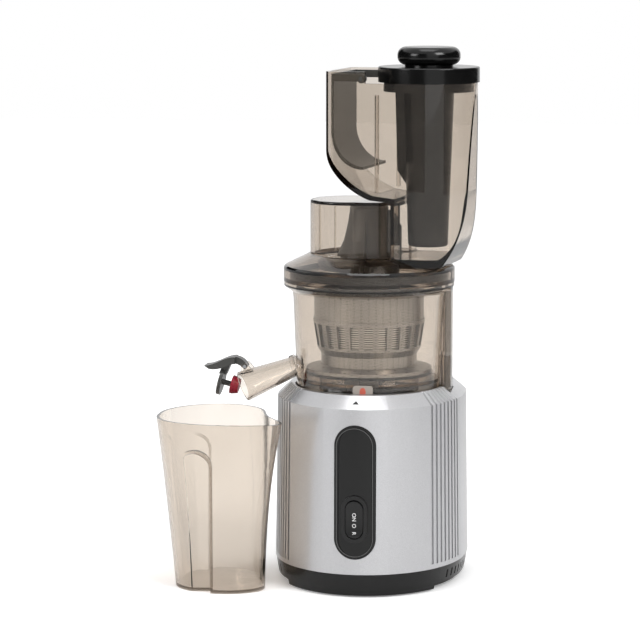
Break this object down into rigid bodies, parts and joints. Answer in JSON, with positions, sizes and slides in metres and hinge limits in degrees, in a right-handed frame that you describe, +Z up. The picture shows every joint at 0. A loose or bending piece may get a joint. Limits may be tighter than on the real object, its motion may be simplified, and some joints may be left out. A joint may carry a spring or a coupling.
{
  "type": "cold press juicer",
  "caption": "Vertical slow juicer with a silver motor base, clear bowl with strainer and screw, wide feed hopper with pusher, and a juice jug.",
  "frame": {"origin": "on the worktop, straight under the screw's axis", "axes": "+Z up along the screw's axis, -Y towards the switch panel, -X towards the juice spout"},
  "size_m": [0.2763, 0.2117, 0.4695],
  "materials": {
    "silver_paint": "satin metallic paint",
    "black_gloss": "gloss",
    "black_satin": "satin",
    "dark_grey": "satin",
    "screw_grey": "satin, glass filled",
    "smoke_clear": "clear smoke tinted moulding",
    "rubber_black": "matt",
    "silicone_red": "satin silicone",
    "silicone_grey": "satin silicone",
    "steel": "brushed",
    "strainer_grey": "satin metallic grey",
    "cast_grey": "die cast"
  },
  "bodies": {
    "base": {"base_shell": "silver_paint", "base_skirt": "black_gloss", "bottom_plate": "black_satin", "rubber_feet": "rubber_black", "bottom_screws": "steel", "seat_ring": "black_satin", "shaft_seal": "rubber_black", "front_panel": "black_gloss", "switch_bezel": "black_satin", "switch_box": "black_satin", "gearbox": "cast_grey", "motor": "steel", "micro_switch": "black_satin", "cord_gland": "rubber_black"},
    "switch_rocker": {"rocker": "black_satin"},
    "drive": {"output_shaft": "steel", "drive_coupling": "steel"},
    "juice_bowl": {"bowl": "smoke_clear", "hub_seal": "silicone_grey", "juice_spout": "smoke_clear", "pulp_chute": "smoke_clear", "rod_column": "smoke_clear", "stopper_pin": "steel", "strainer_frame": "strainer_grey", "strainer_mesh": "steel"},
    "press_screw": {"screw": "screw_grey", "screw_socket": "steel"},
    "lid_and_hopper": {"lid": "smoke_clear", "lid_seal": "rubber_black"},
    "pusher": {"pusher_plunger": "black_gloss", "pusher_cap": "black_gloss", "pusher_knob": "black_gloss"},
    "gate": {"hopper_gate": "dark_grey"},
    "safety_plunger": {"safety_rod": "steel", "rod_sleeve": "smoke_clear"},
    "stopper": {"stopper_lever": "dark_grey", "stopper_plug": "silicone_red"},
    "juice_jug": {"jug": "smoke_clear"}
  },
  "joints": [
    {"name": "switch_tilt", "type": "hinge", "parent": "base", "child": "switch_rocker", "pos_m": [0, -0.0843, 0.069], "axis": [1, 0, 0], "range_deg": [-8, 8]},
    {"name": "drive_turn", "type": "hinge", "parent": "base", "child": "drive", "pos_m": [0, 0, 0.17], "axis": [0, 0, 1], "continuous": true},
    {"name": "bowl_lift", "type": "slide", "parent": "base", "child": "juice_bowl", "axis": [0, 0, 1], "range_m": [0, 0.06]},
    {"name": "screw_turn", "type": "hinge", "parent": "juice_bowl", "child": "press_screw", "pos_m": [0, 0, 0.25], "axis": [0, 0, 1], "continuous": true},
    {"name": "lid_twist", "type": "hinge", "parent": "juice_bowl", "child": "lid_and_hopper", "pos_m": [0, 0, 0.265], "axis": [0, 0, 1], "range_deg": [0, 20]},
    {"name": "pusher_lift", "type": "slide", "parent": "lid_and_hopper", "child": "pusher", "axis": [0, 0, 1], "range_m": [0, 0.16]},
    {"name": "gate_swing", "type": "hinge", "parent": "lid_and_hopper", "child": "gate", "pos_m": [0.00298, -0.00037, 0.443], "axis": [-0.1219, -0.9925, 0], "range_deg": [0, 6]},
    {"name": "rod_press", "type": "slide", "parent": "juice_bowl", "child": "safety_plunger", "axis": [0, 0, 1], "range_m": [-0.003, 0], "stiffness_N_per_m": 300, "springref_m": 0.001},
    {"name": "stopper_swing", "type": "hinge", "parent": "juice_bowl", "child": "stopper", "pos_m": [-0.11, 0, 0.187], "axis": [0, 1, 0], "range_deg": [-34, 40]},
    {"name": "jug_slide", "type": "slide", "parent": "base", "child": "juice_jug", "axis": [-1, 0, 0], "range_m": [0, 0.12]}
  ],
  "couplings": [
    {"joint": "drive_turn", "follows": "screw_turn", "ratio": 1}
  ]
}
